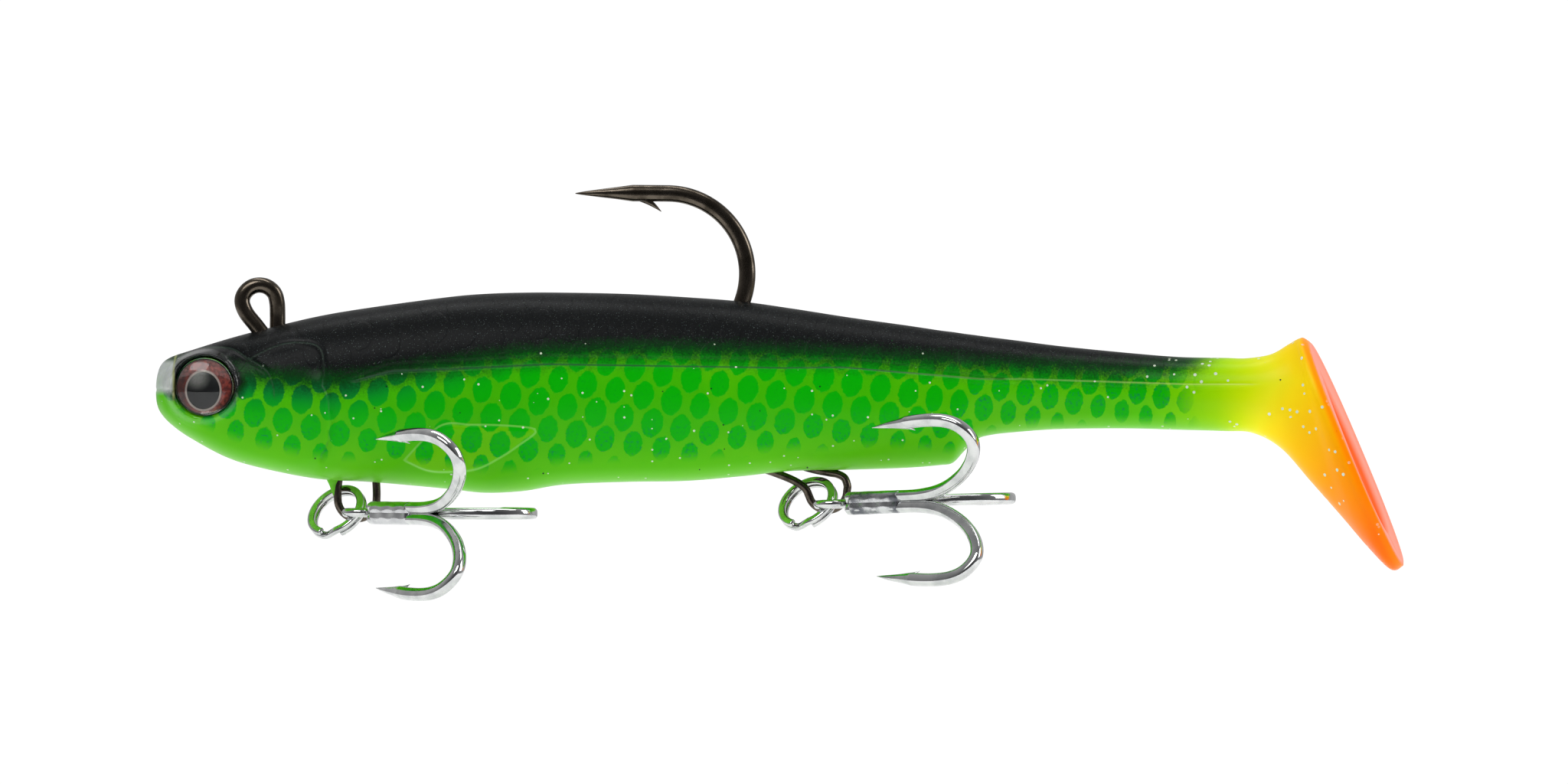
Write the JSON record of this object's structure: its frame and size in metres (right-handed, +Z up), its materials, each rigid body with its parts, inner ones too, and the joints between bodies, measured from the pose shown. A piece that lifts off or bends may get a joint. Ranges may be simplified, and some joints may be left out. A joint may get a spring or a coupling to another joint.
{
  "type": "swimbait",
  "caption": "Pre-rigged soft paddle-tail fishing lure with a moulded-in single hook on the back and treble hooks on split rings under the belly.",
  "frame": {"origin": "centre of the line-tie eye, the wire loop above the snout", "axes": "-X towards the nose and +X towards the tail, +Y towards the lure's right flank, +Z up through the back"},
  "size_m": [0.1904, 0.0387, 0.0627],
  "materials": {
    "soft_green": "glossy soft plastic, black back fading through green scales to a lime belly",
    "soft_lime": "glossy soft plastic, lime fading to yellow",
    "soft_orange": "glossy soft plastic, yellow fading to orange",
    "lead": "cast weight, hidden inside the head",
    "dark_steel": "dark nickel finished spring wire",
    "bright_steel": "bright plated steel wire",
    "braze": "plated braze sleeve",
    "eye_print": "printed foil disc: black pupil, pale ring, marbled red iris",
    "clear_resin": "clear cast dome"
  },
  "bodies": {
    "lure": {"soft_body": "soft_green", "lead_head": "lead", "jig_hook": "dark_steel", "front_hanger_wire": "dark_steel", "rear_hanger_wire": "dark_steel", "left_eye_foil": "eye_print", "left_eye_dome": "clear_resin", "right_eye_foil": "eye_print", "right_eye_dome": "clear_resin"},
    "tail": {"tail_stem": "soft_lime", "tail_paddle": "soft_orange"},
    "front_ring": {"front_split_ring": "bright_steel"},
    "front_treble": {"front_treble_eye_hook": "bright_steel", "front_treble_double_hook": "bright_steel", "front_treble_braze": "braze"},
    "rear_ring": {"rear_split_ring": "bright_steel"},
    "rear_treble": {"rear_treble_eye_hook": "bright_steel", "rear_treble_double_hook": "bright_steel", "rear_treble_braze": "braze"}
  },
  "joints": [
    {"name": "tail_wag", "type": "hinge", "parent": "lure", "child": "tail", "pos_m": [0.132, 0, -0.0135], "axis": [0, 0, 1], "range_deg": [-25, 45], "stiffness_Nm_per_rad": 0.02},
    {"name": "front_ring_slide", "type": "hinge", "parent": "lure", "child": "front_ring", "pos_m": [0.01187, -0.0013, -0.03194], "axis": [0.4394, 0.6428, -0.6275], "range_deg": [0, 70]},
    {"name": "front_treble_swing", "type": "hinge", "parent": "front_ring", "child": "front_treble", "pos_m": [0.01549, -0.00381, -0.03197], "axis": [0, 0, 1], "range_deg": [-45, 20]},
    {"name": "rear_ring_slide", "type": "hinge", "parent": "lure", "child": "rear_ring", "pos_m": [0.08355, -0.0013, -0.03066], "axis": [0.4394, 0.6428, -0.6275], "range_deg": [0, 70]},
    {"name": "rear_treble_swing", "type": "hinge", "parent": "rear_ring", "child": "rear_treble", "pos_m": [0.08717, -0.00381, -0.03069], "axis": [0, 0, 1], "range_deg": [-45, 20]}
  ]
}
